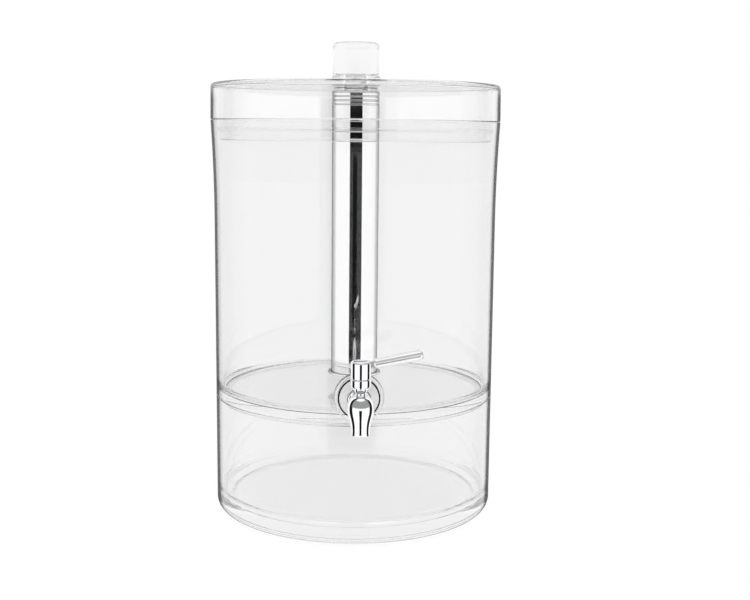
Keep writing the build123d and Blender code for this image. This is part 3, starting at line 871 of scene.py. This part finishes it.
def make_world():
    """White room. Only reflections see its unlit parts, and the tap, the clear walls and the ice
    tube each see their own, told apart by how many clear faces and mirrors the light has met."""
    world = bpy.data.worlds.new("studio")
    bpy.context.scene.world = world
    world.use_nodes = True
    nodes, links = world.node_tree.nodes, world.node_tree.links
    nodes.clear()
    out = add(nodes, "ShaderNodeOutputWorld")
    back = add(nodes, "ShaderNodeBackground", Color=(1, 1, 1, 1))
    where = add(nodes, "ShaderNodeTexCoord")
    parts = add(nodes, "ShaderNodeSeparateXYZ")
    links.new(where.outputs["Generated"], parts.inputs["Vector"])

    def op(operation, first, second=0.0):
        return calc(nodes, links, operation, first, second)

    def product(first, *others):
        for other in others:
            first = op("MULTIPLY", first, other)
        return first

    def rising(value, limits):
        """0 below two limits and 1 above them."""
        return remap(nodes, links, value, limits, (0.0, 1.0), "SMOOTHSTEP")

    def falling(value, limits):
        return remap(nodes, links, value, limits, (1.0, 0.0), "SMOOTHSTEP")

    def choose(share, first, second):
        node = add(nodes, "ShaderNodeMix", data_type="FLOAT")
        feed(links, (node.inputs[0], node.inputs[2], node.inputs[3]), (share, first, second))
        return node.outputs[0]

    level = parts.outputs["Z"]
    heading = op("ARCTAN2", parts.outputs["X"], op("MULTIPLY", parts.outputs["Y"], -1.0))
    heading = op("MULTIPLY", heading, 180 / math.pi)
    aside = op("ABSOLUTE", heading)
    behind = rising(aside, BEHIND)

    def strip(start, end, fade):
        return product(rising(heading, (start - fade, start)), falling(heading, (end, end + fade)))

    # What the ice tube shows.
    tube_room = choose(behind, TUBE_LIGHT, GLASS_LIGHT)
    dark = product(strip(*TUBE_STRIP), falling(level, TUBE_STRIP_TOP))
    tube_room = choose(dark, tube_room, UNLIT)
    tube_room = choose(rising(op("ABSOLUTE", level), STEEP), tube_room, GLASS_LIGHT)

    # What the tap shows.
    tap_room = TAP_LIGHT
    for limits in TAP_STRIPS:
        tap_room = choose(strip(*limits), tap_room, UNLIT)
    stand = product(strip(*STAND_STRIP), falling(level, STAND_TOP))
    tap_room = choose(stand, tap_room, UNLIT)
    canopy = product(rising(level, CANOPY_BOTTOM), falling(level, CANOPY_TOP), strip(*CANOPY))
    tap_room = choose(canopy, tap_room, CANOPY_LIGHT)

    path = add(nodes, "ShaderNodeLightPath")
    crossed = path.outputs["Transmission Depth"]
    mirrors = path.outputs["Glossy Depth"]
    sharp = path.outputs["Is Singular Ray"]
    once = op("LESS_THAN", mirrors, 1.5)
    again = op("SUBTRACT", 1.0, once)
    # The tube is seen through two faces of the tank's wall, or four at the lid, in and out again.
    through_lid = op("GREATER_THAN", crossed, 7.5)
    inside = product(op("ADD", op("COMPARE", crossed, 4.0), through_lid), once)
    direct = op("LESS_THAN", crossed, 0.5)
    skin = product(direct, sharp)
    tap = op("SUBTRACT", direct, skin)

    # What clear walls show.
    glass_room = choose(behind, GLASS_FRONT_LIGHT, GLASS_LIGHT)
    front = product(strip(*FRONT_STRIP), rising(level, FRONT_BOTTOM), falling(level, FRONT_TOP))
    glass_room = choose(front, glass_room, UNLIT)
    flank = product(rising(aside, FLANK_START), falling(aside, FLANK_END))
    flank = product(flank, falling(level, FLANK_TOP), skin)
    glass_room = choose(flank, glass_room, FLANK_LIGHT)

    room = choose(inside, glass_room, tube_room)
    # What the tube's mirror shows of the tap's back is dim.
    echo = product(again, op("GREATER_THAN", crossed, 3.5), falling(level, ECHO_TOP))
    from_metal = op("SUBTRACT", 1.0, sharp)
    echo = product(echo, op("MAXIMUM", op("COMPARE", crossed, 8.0), from_metal))
    room = choose(echo, room, UNLIT)
    # So is what it and the lid's walls show of each other.
    between = product(again, through_lid, op("SUBTRACT", 1.0, behind))
    room = choose(between, room, UNLIT)
    room = choose(tap, room, tap_room)
    mirrored = op("GREATER_THAN", mirrors, 0.5)
    links.new(choose(mirrored, 1.0, room), back.inputs["Strength"])
    links.new(back.outputs["Background"], out.inputs["Surface"])


def make_floor():
    """Plain pale table, lit by itself as a light table is."""
    bm = bmesh.new()
    bmesh.ops.create_circle(bm, cap_ends=True, segments=SMALL, radius=FLOOR_R)
    floor = finish_mesh("floor", bm)
    floor.location.z = FLOOR_Z
    material, nodes, links = new_material("floor")
    out = add(nodes, "ShaderNodeOutputMaterial")
    paper = add(nodes, "ShaderNodeBsdfDiffuse", Color=FLOOR_PAPER)
    glow = add(nodes, "ShaderNodeEmission", Color=FLOOR_GLOW)
    lit = add(nodes, "ShaderNodeAddShader")
    links.new(paper.outputs["BSDF"], lit.inputs[0])
    links.new(glow.outputs["Emission"], lit.inputs[1])
    # Reflections look past it to the room.
    path = add(nodes, "ShaderNodeLightPath")
    mirrored = calc(nodes, links, "GREATER_THAN", path.outputs["Glossy Depth"], 0.5)
    clear = add(nodes, "ShaderNodeBsdfTransparent")
    choose = add(nodes, "ShaderNodeMixShader")
    feed(links, choose.inputs, (mirrored, lit.outputs["Shader"], clear.outputs["BSDF"]))
    links.new(choose.outputs["Shader"], out.inputs["Surface"])
    floor.data.materials.append(material)


make_camera()
make_world()
make_floor()

scene = bpy.context.scene
scene.view_settings.view_transform = "Standard"
scene.cycles.use_denoising = True
scene.cycles.max_bounces = 40
scene.cycles.transmission_bounces = 32
scene.cycles.glossy_bounces = 24
scene.cycles.transparent_max_bounces = 40
